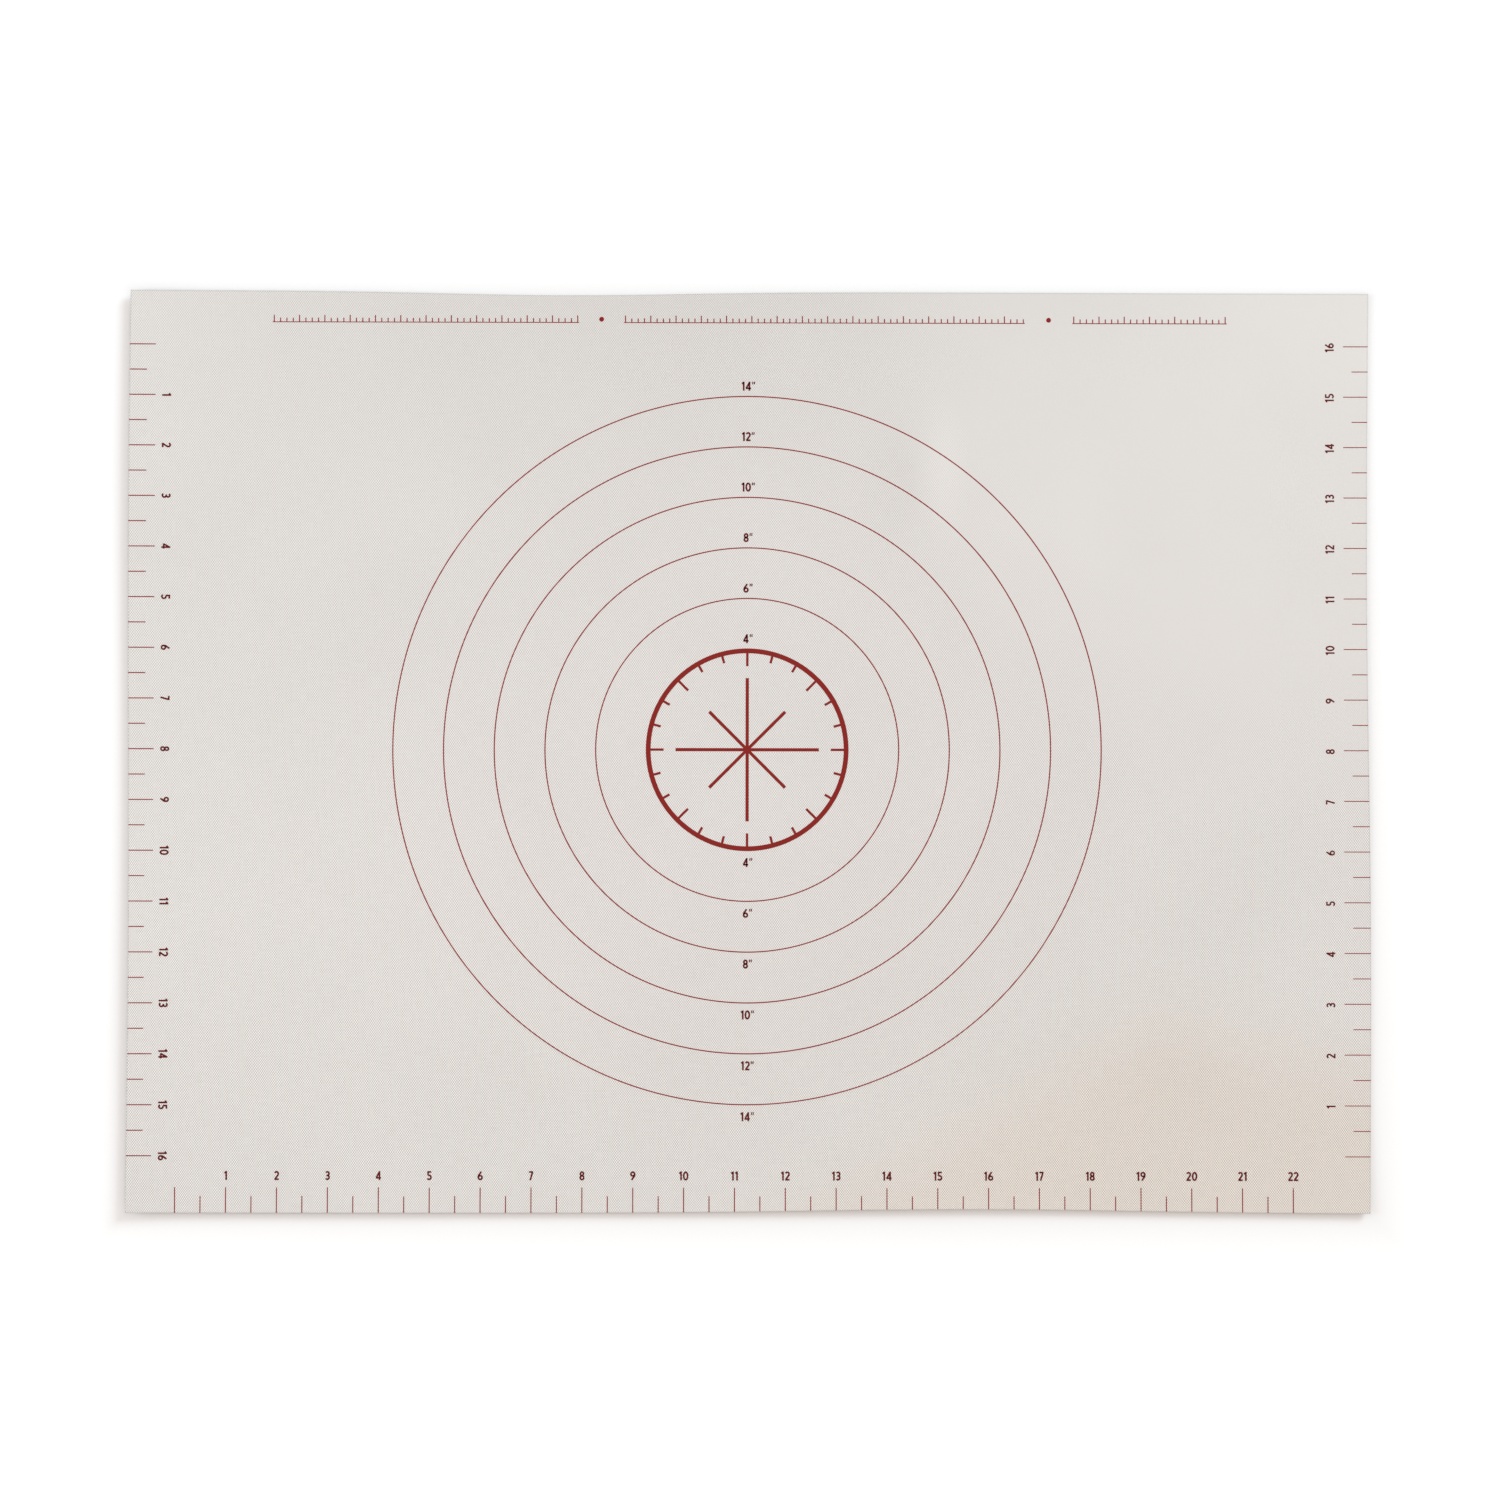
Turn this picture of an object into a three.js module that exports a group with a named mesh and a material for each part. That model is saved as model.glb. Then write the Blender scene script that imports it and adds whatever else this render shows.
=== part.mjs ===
// Baking mat: woven glass cloth between two silicone coats, printed with size rings and inch scales.
// +X runs along the bottom scale, +Y towards the header edge and +Z up from the underside.
// The origin is the centre of the underside. Lengths are in millimetres.

import * as THREE from 'three';

const INCH = 25.4;

// Laminate
const MAT_WIDTH = 622;
const MAT_DEPTH = 462;
const BACK_COAT_THICKNESS = 0.28;
const GLASS_CLOTH_THICKNESS = 0.18;
const TOP_COAT_THICKNESS = 0.26;
const BOND_GAP = 0.01;
const INK_THICKNESS = 0.05;

// Centre of the printed rings, from the centre of the mat
const PRINT_CENTRE_X = -1.1;
const PRINT_CENTRE_Y = 0.6;

// Size rings, named by their diameter in inches
const RING_INCHES = [4, 6, 8, 10, 12, 14];
const RING_LINE = 0.45;
const BOLD_RING_LINE = 2.4;
const RING_EDGE_MARGIN = 24;
const RING_SIDE_LENGTH = 11;
const RING_LEAST_SIDES = 48;

// Marks on the inside of the smallest ring, and the portion star within them
const DIAL_MARK_COUNT = 24;
const LONG_DIAL_MARK_EVERY = 3;
const LONG_DIAL_MARK = 6.5;
const SHORT_DIAL_MARK = 3.5;
const DIAL_MARK_LINE = 1.2;
const STAR_RAY_COUNT = 8;
const STAR_CLEARANCE = 6;
const DIAGONAL_RAY_SHORTFALL = 9;
const STAR_LINE = 1.6;

// Inch scales along three edges, with a mark at each half inch
const SCALE_STEP = INCH / 2;
const SCALE_LONG_EVERY = 2;
const LONG_MARK = 12.7;
const SHORT_MARK = 8.4;
const MARK_LINE = 0.5;
const SPINE_LINE = 0.4;
const SPINE_OVERHANG = 0.5;
const BOTTOM_SCALE_START = 24.5;
const BOTTOM_SCALE_END_MARGIN = 30;
const SIDE_SCALE_END_MARGIN = 26;

// Header line: three check rules with eighth-inch marks and a round dot between each two
const HEADER_BASELINE_DROP = 16;
const HEADER_SIDE_MARGIN = 72;
const HEADER_STEP = INCH / 8;
const HEADER_LONG_EVERY = 4;
const HEADER_LEFT_STEPS = 48;
const HEADER_RIGHT_STEPS = 24;
const HEADER_GAP = 24;
const HEADER_LONG_MARK = 3.7;
const HEADER_SHORT_MARK = 2.3;
const HEADER_MARK_LINE = 0.5;
const HEADER_BASELINE = 0.4;
const HEADER_DOT_DIAMETER = 2.4;
const HEADER_DOT_SIDES = 24;

// Materials
const coatMaterial = new THREE.MeshStandardMaterial({ color: 0xdedad5, roughness: 0.5, metalness: 0 });
const backMaterial = new THREE.MeshStandardMaterial({ color: 0xd8d3cc, roughness: 0.55, metalness: 0 });
const clothMaterial = new THREE.MeshStandardMaterial({ color: 0xe6e3dc, roughness: 0.7, metalness: 0 });
const redInk = new THREE.MeshStandardMaterial({ color: 0x9c2f2a, roughness: 0.55, metalness: 0 });
const maroonInk = new THREE.MeshStandardMaterial({ color: 0x54302e, roughness: 0.55, metalness: 0 });

const mat = new THREE.Group();

// Heights of the layers above the worktop
const clothBottom = BACK_COAT_THICKNESS + BOND_GAP;
const topCoatBottom = clothBottom + GLASS_CLOTH_THICKNESS + BOND_GAP;
const inkBottom = topCoatBottom + TOP_COAT_THICKNESS + BOND_GAP;

const leftEdge = -MAT_WIDTH / 2;
const rightEdge = MAT_WIDTH / 2;
const bottomEdge = -MAT_DEPTH / 2;
const topEdge = MAT_DEPTH / 2;

// Point at a distance along a ray from the centre, and aside to its left
function onRay(angle, along, aside = 0) {
  const x = Math.cos(angle) * along - Math.sin(angle) * aside;
  const y = Math.sin(angle) * along + Math.cos(angle) * aside;
  return new THREE.Vector2(x, y);
}

function circle(radius, sides) {
  return Array.from({ length: sides }, (_, index) => onRay((2 * Math.PI * index) / sides, radius));
}

function addLayer(name, bottom, thickness, material) {
  const layer = new THREE.Mesh(new THREE.BoxGeometry(MAT_WIDTH, MAT_DEPTH, thickness), material);
  layer.name = name;
  layer.position.z = bottom + thickness / 2;
  mat.add(layer);
}

// Film of ink on the top coat, from a flat outline and an optional hole in it
function addInk(name, outline, material, x, y, { hole = null, turn = 0 } = {}) {
  const shape = new THREE.Shape(outline);
  if (hole) {
    shape.holes.push(new THREE.Path(hole));
  }
  const geometry = new THREE.ExtrudeGeometry(shape, { depth: INK_THICKNESS, bevelEnabled: false });
  const film = new THREE.Mesh(geometry, material);
  film.name = name;
  film.position.set(x, y, inkBottom);
  film.rotation.z = turn;
  mat.add(film);
}

addLayer('back_coat', 0, BACK_COAT_THICKNESS, backMaterial);
addLayer('glass_cloth', clothBottom, GLASS_CLOTH_THICKNESS, clothMaterial);
addLayer('top_coat', topCoatBottom, TOP_COAT_THICKNESS, coatMaterial);

// Inside outline of the smallest ring, with marks that point to the centre
function dialOutline(radius) {
  const step = (2 * Math.PI) / DIAL_MARK_COUNT;
  const half = DIAL_MARK_LINE / 2;
  const rim = Math.sqrt(radius ** 2 - half ** 2);
  const points = [];
  for (let index = 0; index < DIAL_MARK_COUNT; index += 1) {
    const angle = index * step;
    const length = index % LONG_DIAL_MARK_EVERY === 0 ? LONG_DIAL_MARK : SHORT_DIAL_MARK;
    points.push(onRay(angle, rim, -half));
    points.push(onRay(angle, radius - length, -half));
    points.push(onRay(angle, radius - length, half));
    points.push(onRay(angle, rim, half));
    points.push(onRay(angle + step / 2, radius));
  }
  return points;
}

// The outer edge of each ring's line is at the ring's size
const shortestSide = Math.min(MAT_WIDTH, MAT_DEPTH);
const ringsThatFit = RING_INCHES.filter((inches) => inches * INCH + 2 * RING_EDGE_MARGIN <= shortestSide);

ringsThatFit.forEach((inches, index) => {
  const radius = (inches * INCH) / 2;
  const sides = Math.max(RING_LEAST_SIDES, Math.ceil((2 * Math.PI * radius) / RING_SIDE_LENGTH));
  const isDial = index === 0;
  const hole = isDial ? dialOutline(radius - BOLD_RING_LINE) : circle(radius - RING_LINE, sides);
  const material = isDial ? redInk : maroonInk;
  addInk(`ring_${inches}_inch`, circle(radius, sides), material, PRINT_CENTRE_X, PRINT_CENTRE_Y, { hole });
});

// Rays that cross at the centre, every second one shorter
function starOutline(reach) {
  const step = (2 * Math.PI) / STAR_RAY_COUNT;
  const half = STAR_LINE / 2;
  const notch = half / Math.sin(step / 2);
  const points = [];
  for (let index = 0; index < STAR_RAY_COUNT; index += 1) {
    const angle = index * step;
    const length = index % 2 === 0 ? reach : reach - DIAGONAL_RAY_SHORTFALL;
    points.push(onRay(angle, length, -half));
    points.push(onRay(angle, length, half));
    points.push(onRay(angle + step / 2, notch));
  }
  return points;
}

const dialInside = (RING_INCHES[0] * INCH) / 2 - BOLD_RING_LINE - LONG_DIAL_MARK;
addInk('portion_star', starOutline(dialInside - STAR_CLEARANCE), redInk, PRINT_CENTRE_X, PRINT_CENTRE_Y);

// Marks along +X that stand up from a thin spine, with a long one first and then at regular steps
function combOutline(steps, step, spine, line, longEvery, longMark, shortMark) {
  const half = line / 2;
  const end = half + SPINE_OVERHANG;
  const points = [new THREE.Vector2(-end, 0), new THREE.Vector2(steps * step + end, 0)];
  points.push(new THREE.Vector2(steps * step + end, spine));
  for (let index = steps; index >= 0; index -= 1) {
    const x = index * step;
    const length = index % longEvery === 0 ? longMark : shortMark;
    points.push(new THREE.Vector2(x + half, spine));
    points.push(new THREE.Vector2(x + half, length));
    points.push(new THREE.Vector2(x - half, length));
    points.push(new THREE.Vector2(x - half, spine));
  }
  points.push(new THREE.Vector2(-end, spine));
  return points;
}

function addScale(name, steps, x, y, turn) {
  const outline = combOutline(
    steps, SCALE_STEP, SPINE_LINE, MARK_LINE, SCALE_LONG_EVERY, LONG_MARK, SHORT_MARK,
  );
  addInk(name, outline, maroonInk, x, y, { turn });
}

// Steps of a scale that starts and ends on a long mark within the room given
function stepsWithin(room) {
  return SCALE_LONG_EVERY * Math.floor(room / (SCALE_LONG_EVERY * SCALE_STEP));
}

const sideSteps = stepsWithin(MAT_DEPTH - 2 * SIDE_SCALE_END_MARGIN);
const sideReach = (sideSteps * SCALE_STEP) / 2;
const bottomSteps = stepsWithin(MAT_WIDTH - BOTTOM_SCALE_START - BOTTOM_SCALE_END_MARGIN);

addScale('left_scale', sideSteps, leftEdge, PRINT_CENTRE_Y + sideReach, -Math.PI / 2);
addScale('right_scale', sideSteps, rightEdge, PRINT_CENTRE_Y - sideReach, Math.PI / 2);
addScale('bottom_scale', bottomSteps, leftEdge + BOTTOM_SCALE_START, bottomEdge, 0);

function addHeaderRule(name, steps, x) {
  const outline = combOutline(
    steps, HEADER_STEP, HEADER_BASELINE, HEADER_MARK_LINE,
    HEADER_LONG_EVERY, HEADER_LONG_MARK, HEADER_SHORT_MARK,
  );
  addInk(name, outline, maroonInk, x, topEdge - HEADER_BASELINE_DROP);
}

function addHeaderDot(name, x) {
  const dot = circle(HEADER_DOT_DIAMETER / 2, HEADER_DOT_SIDES);
  addInk(name, dot, maroonInk, x, topEdge - HEADER_BASELINE_DROP + HEADER_LONG_MARK / 2);
}

// The outer rules have their own length, and the middle one takes the steps that fit between them
const headerLeft = leftEdge + HEADER_SIDE_MARGIN;
const headerRight = rightEdge - HEADER_SIDE_MARGIN;
const middleLeft = headerLeft + HEADER_LEFT_STEPS * HEADER_STEP + HEADER_GAP;
const rightRuleLeft = headerRight - HEADER_RIGHT_STEPS * HEADER_STEP;
const middleSteps = Math.floor((rightRuleLeft - HEADER_GAP - middleLeft) / HEADER_STEP);
const middleRight = middleLeft + middleSteps * HEADER_STEP;

addHeaderRule('header_rule_left', HEADER_LEFT_STEPS, headerLeft);
addHeaderRule('header_rule_middle', middleSteps, middleLeft);
addHeaderRule('header_rule_right', HEADER_RIGHT_STEPS, rightRuleLeft);
addHeaderDot('header_dot_left', middleLeft - HEADER_GAP / 2);
addHeaderDot('header_dot_right', (middleRight + rightRuleLeft) / 2);

export default mat;
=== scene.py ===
import math

import bpy
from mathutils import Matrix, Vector


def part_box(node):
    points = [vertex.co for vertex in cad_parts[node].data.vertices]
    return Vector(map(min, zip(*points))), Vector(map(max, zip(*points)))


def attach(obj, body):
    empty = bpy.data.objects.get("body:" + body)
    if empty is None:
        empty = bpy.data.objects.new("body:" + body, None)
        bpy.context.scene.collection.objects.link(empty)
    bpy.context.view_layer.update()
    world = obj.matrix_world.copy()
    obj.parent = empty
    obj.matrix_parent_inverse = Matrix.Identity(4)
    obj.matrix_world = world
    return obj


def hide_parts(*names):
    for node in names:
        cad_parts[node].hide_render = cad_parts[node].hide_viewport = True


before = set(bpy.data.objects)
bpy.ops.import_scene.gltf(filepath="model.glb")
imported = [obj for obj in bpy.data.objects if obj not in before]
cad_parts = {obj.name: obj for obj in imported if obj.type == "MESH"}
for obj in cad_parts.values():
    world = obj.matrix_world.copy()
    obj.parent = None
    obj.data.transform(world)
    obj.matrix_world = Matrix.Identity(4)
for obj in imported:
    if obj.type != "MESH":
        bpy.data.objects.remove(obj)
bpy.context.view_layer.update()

# Looks of the baking mat, in metres and in the part's own frame: +X along the bottom scale, +Y towards
# the header edge, +Z up. Every layer and every film of ink is built flat in its place and then settled
# together, so that the print follows the mat where its edges lift.

MM = 0.001
INCH = 0.0254
QUARTER_TURN = math.pi / 2
scene = bpy.context.scene

# Places that come from the frame
mat_low, mat_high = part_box("top_coat")
LEFT, BOTTOM = mat_low.xy
RIGHT, TOP, TOP_COAT_HIGH = mat_high
WIDTH = RIGHT - LEFT
DEPTH = TOP - BOTTOM
dial_low, dial_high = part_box("ring_4_inch")
PRINT_X = (dial_low.x + dial_high.x) / 2
PRINT_Y = (dial_low.y + dial_high.y) / 2
INK_TOP = dial_high.z

# How the mat lies: its edges lift off the table by a height that fades out over a reach. Lifted places draw
# in towards the middle, by a share of DRAW_IN for each metre of lift.
LEFT_CURL = 3.4 * MM
BOTTOM_CURL = 2.4 * MM
RIGHT_CURL = 0.7 * MM
TOP_CURL = 1.0 * MM
LONG_REACH = 80 * MM
SHORT_REACH = 45 * MM
CURL_SWELL = 0.12
CURL_WAVELENGTH = 310 * MM
DRAW_IN = 0.8

# How the cut edges stray from straight lines
EDGE_REACH = 12 * MM
TOP_DIP = 2.0 * MM
TOP_DIP_X = -95 * MM
TOP_DIP_SPREAD = 60 * MM
TOP_SLANT = 0.6 * MM
RIGHT_DIP = 0.6 * MM
RIGHT_DIP_Y = 55 * MM
RIGHT_DIP_SPREAD = 70 * MM
BOTTOM_RISE = 2.1 * MM
BOTTOM_RISE_X = 112 * MM
BOTTOM_RISE_SPREAD = 82 * MM
SIDE_SWAY = 0.6 * MM
SIDE_SWAY_WAVELENGTH = 440 * MM

# Meshes: each keeps its flat places in a layer that the materials read
FLAT_LAYER = "flat"
SHARP_ANGLE = math.radians(30)
SHEET_CELL = 5 * MM
CHAMFER = 0.05 * MM

# Print: a stroke is closed if its ends are within a share of its line's width, and corners that round to
# the same step are one point
INK_SINK = 0.005 * MM
SMALL_PART = 3 * MM
MERGE_STEPS_PER_METRE = 1e8
CLOSED_WITHIN = 0.01
RING_SIDES = 288
DOT_SIDES = 48
DIAL_INCHES = 4
THIN_RING_INCHES = (6, 8, 10, 12, 14)
BOLD_LINE = 2.4 * MM
RING_LINE = 0.55 * MM
MARK_LINE = 0.49 * MM
RIGHT_MARK_LINE = 0.40 * MM
LONG_MARK = 0.5 * INCH
SHORT_MARK = 8.4 * MM
END_ROOM = 0.75 * MM
HEADER_LINE = 0.5 * MM
HEADER_BASELINE = 0.4 * MM
HEADER_STEP = INCH / 8
HEADER_LONG_EVERY = 4
HEADER_SHORT_MARK = 2.3 * MM
DIAL_MARKS = 24
LONG_DIAL_EVERY = 3
LONG_DIAL_MARK = 6.5 * MM
SHORT_DIAL_MARK = 3.5 * MM
DIAL_LINE = 1.2 * MM
STAR_RAYS = 8
STAR_LINE = 1.6 * MM
DIAGONAL_SHORTFALL = 9 * MM

# Numerals: lines and gaps are shares of a figure's height, and an arc's step is in degrees
FIGURE_LINE = 0.19
RIGHT_FIGURE_LINE = 0.17
INCH_SIGN_LINE = 0.12
FIGURE_GAP = 0.09
ARC_STEP = 15
FIGURE = 4.5 * MM
BOTTOM_FIGURE_RISE = 18.6 * MM
LEFT_FIGURE_INSET = 18.3 * MM
RIGHT_FIGURE_INSET = 19.6 * MM
RIGHT_FIGURE_BACK = 0.5 * MM
LABEL_ABOVE = 4.9 * MM
LABEL_BELOW = 5.7 * MM
LABEL_SHIFT = 0.25 * MM

# Weave of the glass cloth: its pitches, the bow of the fill yarns, how the yarns stray, and their streaks
WARP_PITCH = 0.572 * MM
FILL_PITCH = 0.7715 * MM
FILL_BOW = 0.076
YARN_STRAY = 4.0
STRAY_ACROSS = 170
STRAY_ALONG = 14
YARN_DETAIL = 1
FIBRES_PER_YARN = 4
CHECK_EDGE = 0.6
STREAKS_ALONG = 130
STREAK_DEPTH = 0.18

# Tones run from 0, the dark colour of a coat, to 1, its light colour
MIDDLE_TONE = 0.5

# Painted sheen: the top coat is painted lighter in the header's right corner, where the weave is hidden,
# and the weave shows best at the bottom
SHEEN_CORNER_INSIDE = 185 * MM
SHEEN_CORNER_OUTSIDE = 275 * MM
SHEEN_CORNER_STRAY = 60 * MM
SHEEN_CORNER_SCALE = 22
SHEEN_CORNER_TONE = 0.55
WEAVE_AT_TOP = 0.55
WEAVE_AT_BOTTOM = 1.0
WEAVE_AT_BACK = 0.9

# Painted shade: the top coat is painted darker and warmer towards the bottom right corner, below a line
# that rises along X and falls after its peak
WARM_PEAK_X = 205 * MM
WARM_RISE = 0.55
WARM_FALL = 0.25
WARM_START = 212 * MM
WARM_END = 288 * MM
PAINTED_SHADE_TINT = (0.994, 0.948, 0.901)

# Clouds in the tone of both coats
CLOUD_SCALE = 14
CLOUD_DETAIL = 3
CLOUD_DEPTH = 0.09

# Painted light and shade in slow patches of the top coat's tone, with one faint smear, a painted sheen
# beside a
# painted shade, at the end of the list: the middle of each patch, its reach along X and Y, and its change
# of tone
PAINTED_LIGHT_PATCHES = (
    ((-22 * MM, 236 * MM), (310 * MM, 150 * MM), -0.085),
    ((-190 * MM, -85 * MM), (290 * MM, 170 * MM), 0.055),
    ((330 * MM, -140 * MM), (130 * MM, 120 * MM), 0.03),
    ((330 * MM, 230 * MM), (120 * MM, 90 * MM), 0.055),
    ((97 * MM, 141 * MM), (17 * MM, 44 * MM), 0.075),
    ((74 * MM, 142 * MM), (26 * MM, 52 * MM), -0.05),
)

# Painted shade along the rim of the cut edges, with its depth as a change of tone
EDGE_SHADE_REACH = 0.7 * MM
EDGE_SHADE_DEPTH = 0.3

# Ink lies in patches, thinner on the crowns of the weave
INK_PATCH_SCALE = 900
INK_PATCH_DEPTH = 0.8
INK_PATCH_SHIFT = -0.3

# Roughness on the crowns of the weave and in its hollows, and other gloss
TOP_ROUGHNESS = (0.42, 0.55)
BACK_ROUGHNESS = (0.5, 0.62)
INK_ROUGHNESS = (0.62, 0.72)
CLOTH_ROUGHNESS = 0.6
SILICONE_IOR = 1.41
INK_SPECULAR = 0.2

# Relief of the weave: its height and how strongly it shows
COAT_RELIEF = (0.03 * MM, 0.5)
CLOTH_RELIEF = (0.05 * MM, 0.6)

# Colours, as they look under plain white light
COAT_LIGHT = (250, 246, 243)
COAT_DARK = (185, 181, 177)
BACK_LIGHT = (230, 225, 219)
BACK_DARK = (200, 194, 187)
CLOTH_LIGHT = (240, 238, 232)
CLOTH_DARK = (176, 172, 164)
RED_INK = (136, 34, 30)
RED_INK_THIN = (152, 50, 44)
LINE_INK = (140, 29, 31)
LINE_INK_THIN = (155, 46, 47)
FIGURE_INK = (98, 22, 24)
FIGURE_INK_THIN = (114, 38, 38)


def colour(rgb):
    """Linear colour of an 8-bit sRGB one."""
    parts = [part / 255 for part in rgb]
    linear = [p / 12.92 if p <= 0.04045 else ((p + 0.055) / 1.055) ** 2.4 for p in parts]
    return (*linear, 1.0)


# Form of the lying mat

def curl(distance, height, reach):
    """Lift of an edge that curls up, at a distance in from that edge."""
    nearness = max(0.0, 1 - distance / reach)
    return height * nearness ** 2


def swell(along, start):
    """Slow change of the curl's height along an edge."""
    return 1 + CURL_SWELL * math.sin(2 * math.pi * (along - start) / CURL_WAVELENGTH)


def lift(x, y):
    """Height of a place on the mat above its flat place, from all four edges together."""
    left = curl(x - LEFT, LEFT_CURL * swell(y, BOTTOM), LONG_REACH)
    bottom = curl(y - BOTTOM, BOTTOM_CURL * swell(x, PRINT_X), LONG_REACH)
    right = curl(RIGHT - x, RIGHT_CURL * swell(y, TOP), SHORT_REACH)
    top = curl(TOP - y, TOP_CURL * swell(x, LEFT), SHORT_REACH)
    return math.hypot(left, bottom, right, top)


def hump(along, centre, spread):
    """Bell curve of height 1."""
    return math.exp(-((along - centre) / spread) ** 2 / 2)


def near_edge(distance):
    """1 at an edge, fading out over the edge's reach."""
    return max(0.0, 1 - distance / EDGE_REACH) ** 2


def settle(point):
    """Where a point of the flat mat lies once its edges have lifted, drawn in and strayed."""
    x, y, z = point
    height = lift(x, y)
    top_dip = TOP_DIP * hump(x, TOP_DIP_X, TOP_DIP_SPREAD) + TOP_SLANT * (x - LEFT) / WIDTH
    right_dip = RIGHT_DIP * hump(y, RIGHT_DIP_Y, RIGHT_DIP_SPREAD)
    bottom_rise = BOTTOM_RISE * hump(x, BOTTOM_RISE_X, BOTTOM_RISE_SPREAD)
    sway = SIDE_SWAY * math.sin(2 * math.pi * (TOP - y) / SIDE_SWAY_WAVELENGTH)
    aside = sway * near_edge(min(x - LEFT, RIGHT - x)) + right_dip * near_edge(RIGHT - x)
    down = top_dip * near_edge(TOP - y) - bottom_rise * near_edge(y - BOTTOM)
    drawn = 1 - DRAW_IN * height
    return Vector((x * drawn - aside, y * drawn - down, z + height))


def add_piece(name, points, faces, material, nodes):
    """A piece of the mat from flat points and faces, settled and riding on the mat's one body."""
    mesh = bpy.data.meshes.new(name)
    mesh.from_pydata([settle(point) for point in points], [], faces)
    flat = mesh.uv_layers.new(name=FLAT_LAYER)
    corners = [points[loop.vertex_index] for loop in mesh.loops]
    flat.uv.foreach_set("vector", [value for corner in corners for value in corner[:2]])
    mesh.materials.append(material)
    mesh.polygons.foreach_set("use_smooth", [True] * len(faces))
    mesh.set_sharp_from_angle(angle=SHARP_ANGLE)
    piece = bpy.data.objects.new(name, mesh)
    scene.collection.objects.link(piece)
    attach(piece, "root")
    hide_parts(*nodes)
    return piece


# Layers

def grid_line(start, end):
    """Places along one side of a layer, with a narrow first and last step for the cut edge's chamfer."""
    inner = end - start - 2 * CHAMFER
    steps = round(inner / SHEET_CELL)
    return [start, *(start + CHAMFER + inner * i / steps for i in range(steps + 1)), end]


def add_layer(node, material, top_chamfer=0.0, bottom_chamfer=0.0):
    """A closed thin sheet that fills the layer's place in the frame."""
    low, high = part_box(node)
    columns = grid_line(LEFT, RIGHT)
    rows = grid_line(BOTTOM, TOP)
    last_column = len(columns) - 1
    last_row = len(rows) - 1
    points = []
    for height, edge_step in ((low.z, bottom_chamfer), (high.z, -top_chamfer)):
        for j, y in enumerate(rows):
            for i, x in enumerate(columns):
                at_edge = i in (0, last_column) or j in (0, last_row)
                points.append((x, y, height + edge_step if at_edge else height))
    below = len(columns) * len(rows)

    def at(i, j):
        return j * len(columns) + i

    faces = []
    for j in range(last_row):
        for i in range(last_column):
            corners = (at(i, j), at(i + 1, j), at(i + 1, j + 1), at(i, j + 1))
            faces.append(corners[::-1])
            faces.append([below + corner for corner in corners])
    rim = [at(i, 0) for i in range(last_column)]
    rim += [at(last_column, j) for j in range(last_row)]
    rim += [at(i, last_row) for i in range(last_column, 0, -1)]
    rim += [at(0, j) for j in range(last_row, 0, -1)]
    for first, second in zip(rim, rim[1:] + rim[:1]):
        faces.append((first, second, below + second, below + first))
    return add_piece(node, points, faces, material, [node])


# Films of ink

def on_ray(angle, distance):
    """Point on a ray from the origin."""
    return (math.cos(angle) * distance, math.sin(angle) * distance)


def stroke(points, line):
    """Row of quads along a bent line, mitred at its bends. A line that ends where it starts is closed."""
    runs = [(Vector(b) - Vector(a)).normalized() for a, b in zip(points, points[1:])]
    sides = [Vector((-run.y, run.x)) for run in runs]
    is_closed = math.dist(points[0], points[-1]) < line * CLOSED_WITHIN
    before = [sides[-1] if is_closed else sides[0], *sides]
    after = [*sides, sides[0] if is_closed else sides[-1]]
    mitres = [(a + b) / (1 + a.dot(b)) * line / 2 for a, b in zip(before, after)]
    left = [tuple(Vector(point) + mitre) for point, mitre in zip(points, mitres)]
    right = [tuple(Vector(point) - mitre) for point, mitre in zip(points, mitres)]
    return [[right[i], right[i + 1], left[i + 1], left[i]] for i in range(len(runs))]


def bar(start, end, line):
    """Straight stroke in short parts, so that it can follow the mat."""
    parts = max(1, math.ceil(math.dist(start, end) / SMALL_PART))
    across = end[0] - start[0]
    up = end[1] - start[1]
    steps = [i / parts for i in range(parts + 1)]
    return stroke([(start[0] + across * t, start[1] + up * t) for t in steps], line)


def ring(outer, line):
    """Ring about the origin, with its line inside the outer radius."""
    inner = outer - line
    angles = [2 * math.pi * i / RING_SIDES for i in range(RING_SIDES + 1)]
    quads = []
    for here, there in zip(angles, angles[1:]):
        places = ((here, inner), (here, outer), (there, outer), (there, inner))
        quads.append([on_ray(angle, distance) for angle, distance in places])
    return quads


def moved(polygons, x, y, turn=0.0):
    """Polygons turned about the origin and then moved."""
    cosine = math.cos(turn)
    sine = math.sin(turn)
    return [[(x + cosine * u - sine * v, y + sine * u + cosine * v) for u, v in p] for p in polygons]


def add_ink(name, polygons, material, nodes=()):
    """Closed film of ink on the top coat from flat polygons, each with its corners anticlockwise."""
    low = TOP_COAT_HIGH - INK_SINK
    index = {}
    points = []

    def corner(place):
        key = tuple(round(part * MERGE_STEPS_PER_METRE) for part in place)
        if key not in index:
            index[key] = len(points)
            points.append((*place, INK_TOP))
            points.append((*place, low))
        return index[key]

    loops = [[corner(place) for place in polygon] for polygon in polygons]
    faces = []
    edges = set()
    for loop in loops:
        faces.append(loop)
        faces.append([vertex + 1 for vertex in reversed(loop)])
        edges.update(zip(loop, loop[1:] + loop[:1]))
    for first, second in sorted(edges):
        if (second, first) not in edges:
            faces.append((first + 1, second + 1, second, first))
    return add_piece(name, points, faces, material, nodes)


def star(reach):
    """Rays that cross at the centre, every second one shorter."""
    step = 2 * math.pi / STAR_RAYS
    notch = STAR_LINE / 2 / math.sin(step / 2)
    foot = STAR_LINE / 2 / math.tan(step / 2)
    polygons = [[on_ray((i - 0.5) * step, notch) for i in range(STAR_RAYS)]]
    for i in range(STAR_RAYS):
        length = reach if i % 2 == 0 else reach - DIAGONAL_SHORTFALL
        polygons += bar(on_ray(i * step, foot), on_ray(i * step, length), STAR_LINE)
    return polygons


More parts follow.
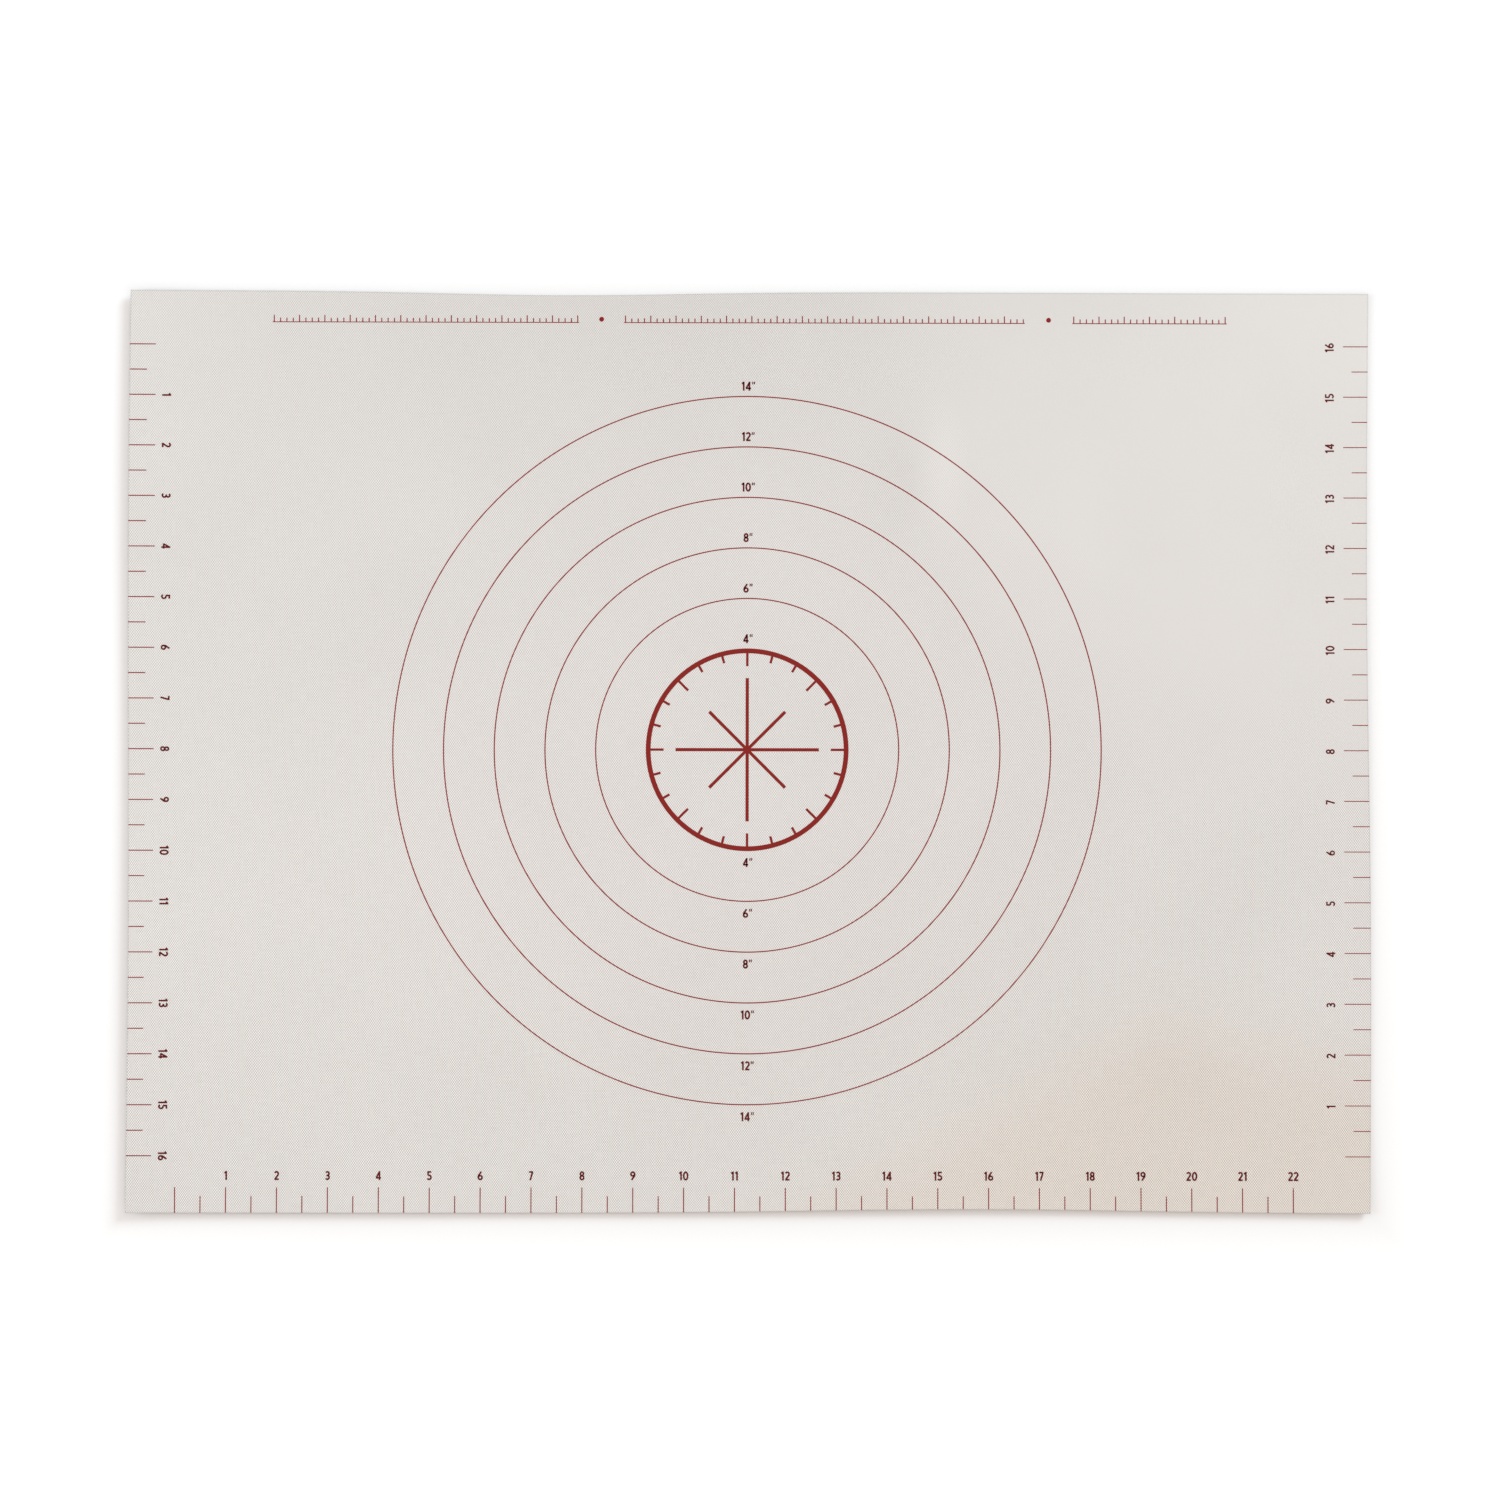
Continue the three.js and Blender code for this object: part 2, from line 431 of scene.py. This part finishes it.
def dial(outer):
    """Bold ring with marks inside it that point to the centre."""
    polygons = ring(outer, BOLD_LINE)
    inside = outer - BOLD_LINE
    for i in range(DIAL_MARKS):
        angle = 2 * math.pi * i / DIAL_MARKS
        length = LONG_DIAL_MARK if i % LONG_DIAL_EVERY == 0 else SHORT_DIAL_MARK
        polygons += bar(on_ray(angle, inside), on_ray(angle, inside - length), DIAL_LINE)
    return polygons


def scale_marks(inches, line):
    """Separate marks along +X at each half inch, long ones at the inches."""
    polygons = []
    for i in range(2 * inches + 1):
        x = i * INCH / 2
        polygons += bar((x, 0), (x, LONG_MARK if i % 2 == 0 else SHORT_MARK), line)
    return polygons


def check_rule(length, height):
    """Baseline along +X with eighth-inch marks on it."""
    steps = round(length / HEADER_STEP)
    base = HEADER_BASELINE / 2
    polygons = bar((-END_ROOM, base), (length + END_ROOM, base), HEADER_BASELINE)
    for i in range(steps + 1):
        x = i * HEADER_STEP
        top = height if i % HEADER_LONG_EVERY == 0 else HEADER_SHORT_MARK
        polygons += bar((x, HEADER_BASELINE), (x, top), HEADER_LINE)
    return polygons


# Figures, drawn as strokes in a box one unit high: each has its width and its strokes

def arc(x, y, across, up, start, end):
    """Points on an ellipse about (x, y) from one angle to another, in degrees."""
    steps = math.ceil(abs(end - start) / ARC_STEP)
    angles = [math.radians(start + (end - start) * i / steps) for i in range(steps + 1)]
    return [(x + across * math.cos(angle), y + up * math.sin(angle)) for angle in angles]


def half_turned(strokes, width):
    """Strokes of a figure turned upside down in its own box."""
    return [[(width - x, 1 - y) for x, y in points] for points in strokes]


SIX_WIDTH = 0.58
SIX = [
    arc(0.29, 0.295, 0.205, 0.21, 0, 360),
    [*arc(0.48, 0.36, 0.395, 0.42, 178, 128), (0.41, 0.96)],
]
FIGURES = {
    "0": (0.60, [arc(0.30, 0.50, 0.215, 0.415, 0, 360)]),
    "1": (0.36, [[(0.04, 0.77), (0.24, 0.92)], [(0.24, 0.0), (0.24, 1.0)]]),
    "2": (0.54, [
        [*arc(0.26, 0.695, 0.195, 0.22, 158, -38), (0.10, 0.10)],
        [(0.03, 0.085), (0.52, 0.085)],
    ]),
    "3": (0.52, [
        arc(0.25, 0.71, 0.175, 0.205, 150, -90),
        arc(0.24, 0.295, 0.20, 0.21, 90, -150),
        [(0.15, 0.51), (0.25, 0.51)],
    ]),
    "4": (0.62, [
        [(0.42, 0.90), (0.08, 0.27)],
        [(0.02, 0.26), (0.60, 0.26)],
        [(0.43, 0.0), (0.43, 1.0)],
    ]),
    "5": (0.53, [
        [(0.48, 0.915), (0.14, 0.915), (0.12, 0.54)],
        arc(0.235, 0.31, 0.215, 0.225, 122, -148),
    ]),
    "6": (SIX_WIDTH, SIX),
    "7": (0.51, [[(0.02, 0.915), (0.48, 0.915)], [(0.42, 0.90), (0.16, 0.0)]]),
    "8": (0.55, [arc(0.275, 0.715, 0.17, 0.20, 0, 360), arc(0.275, 0.29, 0.195, 0.205, 0, 360)]),
    "9": (SIX_WIDTH, half_turned(SIX, SIX_WIDTH)),
    "\"": (0.34, [[(0.10, 1.0), (0.07, 0.70)], [(0.29, 1.0), (0.26, 0.70)]]),
}


def figures(text, figure_line=FIGURE_LINE):
    """Flat polygons of a label, centred on the origin."""
    widths = [FIGURES[sign][0] for sign in text]
    start = -(sum(widths) + FIGURE_GAP * (len(text) - 1)) / 2
    polygons = []
    for sign, width in zip(text, widths):
        line = INCH_SIGN_LINE if sign == "\"" else figure_line
        for points in FIGURES[sign][1]:
            placed = [((start + x) * FIGURE, (y - 0.5) * FIGURE) for x, y in points]
            polygons += stroke(placed, line * FIGURE)
        start += width + FIGURE_GAP
    return polygons


# Materials

class Nodes:
    """Short ways to add nodes to one material's tree."""

    def __init__(self, name):
        self.material = bpy.data.materials.new(name)
        self.material.use_nodes = True
        self.tree = self.material.node_tree
        self.shader = self.tree.nodes["Principled BSDF"]

    def add(self, kind, **values):
        node = self.tree.nodes.new(kind)
        for key, value in values.items():
            setattr(node, key, value)
        return node

    def link(self, source, target):
        self.tree.links.new(source, target)

    def feed(self, socket, value):
        """Links a socket to another node's output, or sets it to a plain value."""
        if isinstance(value, bpy.types.NodeSocket):
            self.link(value, socket)
        else:
            socket.default_value = value

    def shade(self, **values):
        """Feeds the shader's sockets, with underscores for the spaces in their names."""
        for key, value in values.items():
            self.feed(self.shader.inputs[key.replace("_", " ")], value)

    def calc(self, operation, *values):
        node = self.add("ShaderNodeMath", operation=operation)
        for socket, value in zip(node.inputs, values):
            self.feed(socket, value)
        return node.outputs[0]

    def noise(self, vector, scale=1.0, detail=2.0):
        node = self.add("ShaderNodeTexNoise")
        node.inputs["Scale"].default_value = scale
        node.inputs["Detail"].default_value = detail
        self.link(vector, node.inputs["Vector"])
        return node.outputs["Fac"]

    def centred(self, value, depth):
        """A value from 0 to 1, stretched to a depth that lies half to either side of 0."""
        return self.calc("MULTIPLY_ADD", value, depth, -depth / 2)

    def stretched(self, vector, across, along, shift=(0.0, 0.0)):
        node = self.add("ShaderNodeMapping")
        node.inputs["Scale"].default_value = (across, along, 1.0)
        node.inputs["Location"].default_value = (*shift, 0.0)
        self.link(vector, node.inputs["Vector"])
        return node.outputs["Vector"]

    def split(self, vector):
        """X and Y of a place."""
        node = self.add("ShaderNodeSeparateXYZ")
        self.link(vector, node.inputs[0])
        return node.outputs["X"], node.outputs["Y"]

    def ramp(self, value, start, end, start_value, end_value, interpolation="LINEAR"):
        node = self.add("ShaderNodeMapRange", clamp=True, interpolation_type=interpolation)
        self.link(value, node.inputs["Value"])
        node.inputs["From Min"].default_value = start
        node.inputs["From Max"].default_value = end
        node.inputs["To Min"].default_value = start_value
        node.inputs["To Max"].default_value = end_value
        return node.outputs["Result"]

    def mix(self, factor, first, second):
        """Blend of two colours, through those of the mix node's sockets that are for colours."""
        node = self.add("ShaderNodeMix", data_type="RGBA")
        self.feed(node.inputs[0], factor)
        self.feed(node.inputs[6], first)
        self.feed(node.inputs[7], second)
        return node.outputs[2]


def weave(nodes):
    """Height of the plain weave, from 0 to 1, and the place that it is read at."""
    place = nodes.add("ShaderNodeUVMap", uv_map=FLAT_LAYER).outputs["UV"]
    x, y = nodes.split(place)
    wander = nodes.noise(nodes.stretched(place, STRAY_ACROSS, STRAY_ALONG), detail=YARN_DETAIL)
    waver = nodes.noise(nodes.stretched(place, STRAY_ALONG, STRAY_ACROSS), detail=YARN_DETAIL)
    bow = nodes.calc("MULTIPLY", nodes.calc("MULTIPLY", x, x), -FILL_BOW)
    bowed = nodes.calc("ADD", y, bow)
    warp = nodes.calc("MULTIPLY_ADD", x, math.pi / WARP_PITCH, nodes.centred(wander, YARN_STRAY))
    fill = nodes.calc("MULTIPLY_ADD", bowed, math.pi / FILL_PITCH, nodes.centred(waver, YARN_STRAY))
    over = nodes.calc("MULTIPLY", nodes.calc("COSINE", warp), nodes.calc("COSINE", fill))
    return nodes.calc("MULTIPLY_ADD", over, 0.5, 0.5), place


def edge_wear(nodes, place):
    """Painted shade along the rim of the cut edges: 0 inside, its full depth at the cut, and deepest at the
    corners.
    """
    rim_shade = 0.0
    for part, half in zip(nodes.split(place), (WIDTH / 2, DEPTH / 2)):
        inward = nodes.calc("SUBTRACT", half, nodes.calc("ABSOLUTE", part))
        rim_shade = nodes.calc("ADD", nodes.ramp(inward, EDGE_SHADE_REACH, 0.0, 0.0, EDGE_SHADE_DEPTH), rim_shade)
    return rim_shade


def thick_corner(nodes, place):
    """How much painted sheen lightens the coat and hides the weave: 1 in the header's right corner and 0
    away from it.
    """
    away = nodes.add("ShaderNodeVectorMath", operation="DISTANCE")
    nodes.link(place, away.inputs[0])
    away.inputs[1].default_value = (RIGHT, TOP, 0.0)
    stray = nodes.centred(nodes.noise(place, SHEEN_CORNER_SCALE), SHEEN_CORNER_STRAY)
    reach = nodes.calc("ADD", away.outputs["Value"], stray)
    return nodes.ramp(reach, SHEEN_CORNER_INSIDE, SHEEN_CORNER_OUTSIDE, 1.0, 0.0)


def warm_corner(nodes, place):
    """How much painted shade darkens and warms the coat: 1 in the bottom right corner and 0 away from it.
    """
    x, y = nodes.split(place)
    rising = nodes.calc("MINIMUM", x, WARM_PEAK_X)
    past_peak = nodes.calc("SUBTRACT", x, rising)
    reach = nodes.calc("SUBTRACT", nodes.calc("MULTIPLY", rising, WARM_RISE), y)
    reach = nodes.calc("MULTIPLY_ADD", past_peak, -WARM_FALL, reach)
    return nodes.ramp(reach, WARM_START, WARM_END, 0.0, 1.0, "SMOOTHSTEP")


def warmed(rgb):
    """Linear colour of an 8-bit sRGB one, darker and warmer in the painted shade."""
    return (*(part * tint for part, tint in zip(colour(rgb), PAINTED_SHADE_TINT)), 1.0)


def tone_patch(nodes, place, middle, reach, change):
    """Patch of painted light, for a change of tone above 0, and of painted shade below 0, that fades out
    over a reach from its middle.
    """
    shift = (-middle[0] / reach[0], -middle[1] / reach[1])
    away = nodes.add("ShaderNodeVectorMath", operation="LENGTH")
    nodes.link(nodes.stretched(place, 1 / reach[0], 1 / reach[1], shift), away.inputs[0])
    return nodes.ramp(away.outputs["Value"], 0.0, 1.0, change, 0.0, "SMOOTHSTEP")


def relief(nodes, height, distance, strength):
    """Bump of the weave."""
    node = nodes.add("ShaderNodeBump")
    node.inputs["Strength"].default_value = strength
    node.inputs["Distance"].default_value = distance
    nodes.link(height, node.inputs["Height"])
    nodes.shade(Normal=node.outputs["Normal"])


def gloss(nodes, height, crown, hollow):
    """Roughness that changes from the weave's hollows to its crowns."""
    nodes.shade(Roughness=nodes.calc("MULTIPLY_ADD", height, crown - hollow, hollow))


def working_tone(nodes, place, cloth_tone):
    """Tone of the coat on the working face, where the weave shows unevenly, with a painted sheen in the
    header's right corner and patches of painted light and shade.
    """
    y = nodes.split(place)[1]
    # thick holds the painted sheen: the coat is painted lighter and its weave hidden in the header's right
    # corner
    thick = thick_corner(nodes, place)
    showing = nodes.ramp(y, BOTTOM, TOP, WEAVE_AT_BOTTOM, WEAVE_AT_TOP)
    showing = nodes.calc("MULTIPLY", showing, nodes.calc("SUBTRACT", 1.0, thick))
    coat_tone = nodes.calc("MULTIPLY_ADD", thick, SHEEN_CORNER_TONE - MIDDLE_TONE, MIDDLE_TONE)
    # Patches of painted light and shade on the coat's tone
    for patch in PAINTED_LIGHT_PATCHES:
        coat_tone = nodes.calc("ADD", coat_tone, tone_patch(nodes, place, *patch))
    return nodes.calc("MULTIPLY_ADD", cloth_tone, showing, coat_tone)


def silicone(name, light, dark, roughness, is_working_face=False):
    """Silicone coat with the cloth's weave showing through it."""
    nodes = Nodes(name)
    height, place = weave(nodes)
    checks = nodes.ramp(height, 0.5 - CHECK_EDGE / 2, 0.5 + CHECK_EDGE / 2, -0.5, 0.5)
    warp_streak = nodes.noise(nodes.stretched(place, 1 / WARP_PITCH, STREAKS_ALONG), detail=YARN_DETAIL)
    fill_streak = nodes.noise(nodes.stretched(place, STREAKS_ALONG, 1 / FILL_PITCH), detail=YARN_DETAIL)
    streaks = nodes.calc("ADD", warp_streak, fill_streak)
    streaks = nodes.calc("MULTIPLY_ADD", streaks, STREAK_DEPTH, -STREAK_DEPTH)
    cloth_tone = nodes.calc("ADD", checks, streaks)
    if is_working_face:
        tone = working_tone(nodes, place, cloth_tone)
    else:
        tone = nodes.calc("MULTIPLY_ADD", cloth_tone, WEAVE_AT_BACK, MIDDLE_TONE)
    cloud = nodes.centred(nodes.noise(place, CLOUD_SCALE, CLOUD_DETAIL), CLOUD_DEPTH)
    # Painted shade darkens the rim of the cut edges
    tone = nodes.calc("SUBTRACT", nodes.calc("ADD", tone, cloud), edge_wear(nodes, place))
    shade = nodes.mix(tone, colour(dark), colour(light))
    if is_working_face:
        # Painted shade: darker, warmer colours towards the bottom right corner
        painted_shade_colour = nodes.mix(tone, warmed(dark), warmed(light))
        shade = nodes.mix(warm_corner(nodes, place), shade, painted_shade_colour)
    nodes.shade(Base_Color=shade, IOR=SILICONE_IOR)
    gloss(nodes, height, *roughness)
    relief(nodes, height, *COAT_RELIEF)
    return nodes.material


def bare_cloth():
    """Bare glass cloth, which shows only at the cut edge."""
    nodes = Nodes("glass_cloth")
    height, place = weave(nodes)
    fibre_count = FIBRES_PER_YARN / WARP_PITCH
    fibres = nodes.noise(nodes.stretched(place, fibre_count, fibre_count))
    tone = nodes.calc("MULTIPLY", height, fibres)
    nodes.shade(Base_Color=nodes.mix(tone, colour(CLOTH_DARK), colour(CLOTH_LIGHT)))
    nodes.shade(Roughness=CLOTH_ROUGHNESS)
    relief(nodes, height, *CLOTH_RELIEF)
    return nodes.material


def ink(name, thick, thin):
    """Silicone ink that lies thinner on the crowns of the weave."""
    nodes = Nodes(name)
    height, place = weave(nodes)
    patches = nodes.noise(place, INK_PATCH_SCALE)
    patchy = nodes.calc("MULTIPLY_ADD", patches, INK_PATCH_DEPTH, INK_PATCH_SHIFT)
    thinness = nodes.calc("MULTIPLY", height, patchy)
    nodes.shade(Base_Color=nodes.mix(thinness, colour(thick), colour(thin)))
    nodes.shade(IOR=SILICONE_IOR, Specular_IOR_Level=INK_SPECULAR)
    gloss(nodes, height, *INK_ROUGHNESS)
    relief(nodes, height, *COAT_RELIEF)
    return nodes.material


top_silicone = silicone("top_silicone", COAT_LIGHT, COAT_DARK, TOP_ROUGHNESS, is_working_face=True)
back_silicone = silicone("back_silicone", BACK_LIGHT, BACK_DARK, BACK_ROUGHNESS)
red_ink = ink("red_ink", RED_INK, RED_INK_THIN)
line_ink = ink("line_ink", LINE_INK, LINE_INK_THIN)
figure_ink = ink("figure_ink", FIGURE_INK, FIGURE_INK_THIN)


# The mat

back_coat = add_layer("back_coat", back_silicone, bottom_chamfer=CHAMFER)
cloth = add_layer("glass_cloth", bare_cloth())
top_coat = add_layer("top_coat", top_silicone, top_chamfer=CHAMFER)


def add_print(name, polygons, material, slot, *nodes):
    """Film of ink on the top coat."""
    add_ink(name, polygons, material, nodes)


def add_lines(node, polygons):
    """Thin print that stands for a node of the same name."""
    add_print(node, polygons, line_ink, "maroon_ink", node)


for inches in THIN_RING_INCHES:
    add_lines(f"ring_{inches}_inch", moved(ring(inches * INCH / 2, RING_LINE), PRINT_X, PRINT_Y))

dial_radius = (dial_high.x - dial_low.x) / 2
add_print("ring_4_inch", moved(dial(dial_radius), PRINT_X, PRINT_Y), red_ink, "red_ink", "ring_4_inch")
star_low, star_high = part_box("portion_star")
star_reach = (star_high.x - star_low.x) / 2
add_print("portion_star", moved(star(star_reach), PRINT_X, PRINT_Y), red_ink, "red_ink", "portion_star")

# The left scale counts down from the header edge, the right one up, and the bottom one along +X
left_low, left_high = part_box("left_scale")
right_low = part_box("right_scale")[0]
bottom_low, bottom_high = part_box("bottom_scale")
left_zero = left_high.y - END_ROOM
right_zero = right_low.y + END_ROOM
bottom_zero = bottom_low.x + END_ROOM
side_inches = round((left_high.y - left_low.y - 2 * END_ROOM) / INCH)
bottom_inches = round((bottom_high.x - bottom_low.x - 2 * END_ROOM) / INCH)

left_marks = scale_marks(side_inches, MARK_LINE)
right_marks = scale_marks(side_inches, RIGHT_MARK_LINE)
bottom_marks = scale_marks(bottom_inches, MARK_LINE)
add_lines("left_scale", moved(left_marks, LEFT, left_zero, -QUARTER_TURN))
add_lines("right_scale", moved(right_marks, RIGHT, right_zero, QUARTER_TURN))
add_lines("bottom_scale", moved(bottom_marks, bottom_zero, BOTTOM))

for side in ("left", "middle", "right"):
    node = f"header_rule_{side}"
    low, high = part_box(node)
    rule = check_rule(high.x - low.x - 2 * END_ROOM, high.y - low.y)
    add_lines(node, moved(rule, low.x + END_ROOM, low.y))

for side in ("left", "right"):
    node = f"header_dot_{side}"
    low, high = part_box(node)
    radius = (high.x - low.x) / 2
    disc = [[on_ray(2 * math.pi * i / DOT_SIDES, radius) for i in range(DOT_SIDES)]]
    add_lines(node, moved(disc, low.x + radius, low.y + radius))

left_figures = []
right_figures = []
for inches in range(1, side_inches + 1):
    label = figures(str(inches))
    left_figures += moved(label, LEFT + LEFT_FIGURE_INSET, left_zero - inches * INCH, -QUARTER_TURN)
    fine_label = figures(str(inches), RIGHT_FIGURE_LINE)
    right_figure_y = right_zero + inches * INCH - RIGHT_FIGURE_BACK
    right_figures += moved(fine_label, RIGHT - RIGHT_FIGURE_INSET, right_figure_y, QUARTER_TURN)
bottom_figures = []
for inches in range(1, bottom_inches + 1):
    label = figures(str(inches))
    bottom_figures += moved(label, bottom_zero + inches * INCH, BOTTOM + BOTTOM_FIGURE_RISE)
ring_figures = []
for inches in (DIAL_INCHES, *THIN_RING_INCHES):
    label = figures(f'{inches}"')
    radius = inches * INCH / 2
    ring_figures += moved(label, PRINT_X + LABEL_SHIFT, PRINT_Y + radius + LABEL_ABOVE)
    ring_figures += moved(label, PRINT_X + LABEL_SHIFT, PRINT_Y - radius - LABEL_BELOW)
add_print("left_numerals", left_figures, figure_ink, "maroon_ink")
add_print("right_numerals", right_figures, figure_ink, "maroon_ink")
add_print("bottom_numerals", bottom_figures, figure_ink, "maroon_ink")
add_print("ring_numerals", ring_figures, figure_ink, "maroon_ink")


# Floor: the camera sees it pale, with a glow that rises with the distance from the mat and turns it white
# beyond the shadow, while the light that it throws back on the mat is that of a darker floor

WHITE = (1.0, 1.0, 1.0, 1.0)
FLOOR_DROP = 0.05 * MM
FLOOR_HALF = 8.0
FLOOR_ROUGHNESS = 0.9
FLOOR_SEEN = (0.945, 0.94, 0.945, 1.0)
FLOOR_BOUNCE = (0.45, 0.45, 0.45, 1.0)
GLOW_AT_METRE = 1.9
GLOW_RISE = 0.7

floor_mesh = bpy.data.meshes.new("floor")
floor_sides = ((-1, -1), (1, -1), (1, 1), (-1, 1))
floor_corners = [(x * FLOOR_HALF, y * FLOOR_HALF, -FLOOR_DROP) for x, y in floor_sides]
floor_mesh.from_pydata(floor_corners, [], [(0, 1, 2, 3)])
floor = bpy.data.objects.new("floor", floor_mesh)
scene.collection.objects.link(floor)

floor_nodes = Nodes("floor_white")
floor_x, floor_y = floor_nodes.split(floor_nodes.add("ShaderNodeTexCoord").outputs["Object"])
beside = floor_nodes.calc("SUBTRACT", floor_nodes.calc("ABSOLUTE", floor_x), WIDTH / 2)
beyond = floor_nodes.calc("SUBTRACT", floor_nodes.calc("ABSOLUTE", floor_y), DEPTH / 2)
away = floor_nodes.calc("MAXIMUM", floor_nodes.calc("MAXIMUM", beside, beyond), 0.0)
glow = floor_nodes.calc("MULTIPLY", floor_nodes.calc("POWER", away, GLOW_RISE), GLOW_AT_METRE)
path = floor_nodes.add("ShaderNodeLightPath")
seen = floor_nodes.calc("MAXIMUM", path.outputs["Is Camera Ray"], path.outputs["Is Glossy Ray"])
floor_nodes.shade(
    Base_Color=floor_nodes.mix(path.outputs["Is Camera Ray"], FLOOR_BOUNCE, FLOOR_SEEN),
    Roughness=FLOOR_ROUGHNESS,
    Specular_IOR_Level=0.0,
    Emission_Color=WHITE,
    Emission_Strength=floor_nodes.calc("MULTIPLY", seen, glow),
)
floor_mesh.materials.append(floor_nodes.material)


# Light: a warm sky that the camera sees as white, a warm lamp overhead and two cool ones at the sides

SKY_TINT = (1.0, 0.89, 0.82, 1.0)
SKY_STRENGTH = 0.555
WARM_LIGHT = SKY_TINT[:3]
COOL_LIGHT = (0.72, 0.9, 1.0)

world = bpy.data.worlds.new("studio")
scene.world = world
world.use_nodes = True
tree = world.node_tree
sky = tree.nodes["Background"]
sky.inputs["Color"].default_value = SKY_TINT
sky.inputs["Strength"].default_value = SKY_STRENGTH
backdrop = tree.nodes.new("ShaderNodeBackground")
backdrop.inputs["Color"].default_value = WHITE
chooser = tree.nodes.new("ShaderNodeMixShader")
world_path = tree.nodes.new("ShaderNodeLightPath")
tree.links.new(world_path.outputs["Is Camera Ray"], chooser.inputs[0])
tree.links.new(sky.outputs[0], chooser.inputs[1])
tree.links.new(backdrop.outputs[0], chooser.inputs[2])
tree.links.new(chooser.outputs[0], tree.nodes["World Output"].inputs["Surface"])


def add_lamp(name, azimuth, elevation, distance, size, power, tint):
    """Square soft lamp that faces the middle of the mat, its angles in degrees."""
    lamp = bpy.data.lights.new(name, "AREA")
    lamp.size = size
    lamp.energy = power
    lamp.color = tint
    holder = bpy.data.objects.new(name, lamp)
    level, height = on_ray(math.radians(elevation), distance)
    holder.location = (*on_ray(math.radians(azimuth), level), height)
    holder.rotation_euler = (-holder.location).to_track_quat("-Z", "Y").to_euler()
    holder.visible_camera = False
    scene.collection.objects.link(holder)


add_lamp("overhead", azimuth=0, elevation=90, distance=2.3, size=1.8, power=10.6, tint=WARM_LIGHT)
add_lamp("key", azimuth=43, elevation=29, distance=3.2, size=1.2, power=57.0, tint=COOL_LIGHT)
add_lamp("left", azimuth=176, elevation=31, distance=1.75, size=0.9, power=8.2, tint=COOL_LIGHT)


# Camera above the mat, leaning a little towards the header edge, found from the printed marks. Its place
# is given from the middle of the print, its lens and sensor are in millimetres and its turn in degrees.

CAMERA_LENS = 50.0
CAMERA_SENSOR = 36.0
CAMERA_X = -1.9 * MM
CAMERA_Y = -15.4 * MM
CAMERA_HEIGHT = 1.0441
CAMERA_TURN = (0.837, -0.183, 0.093)

camera_data = bpy.data.cameras.new("camera")
camera_data.lens = CAMERA_LENS
camera_data.sensor_width = CAMERA_SENSOR
camera = bpy.data.objects.new("camera", camera_data)
camera.location = (PRINT_X + CAMERA_X, PRINT_Y + CAMERA_Y, TOP_COAT_HIGH + CAMERA_HEIGHT)
camera.rotation_euler = [math.radians(angle) for angle in CAMERA_TURN]
scene.collection.objects.link(camera)
scene.camera = camera

scene.view_settings.view_transform = "Standard"
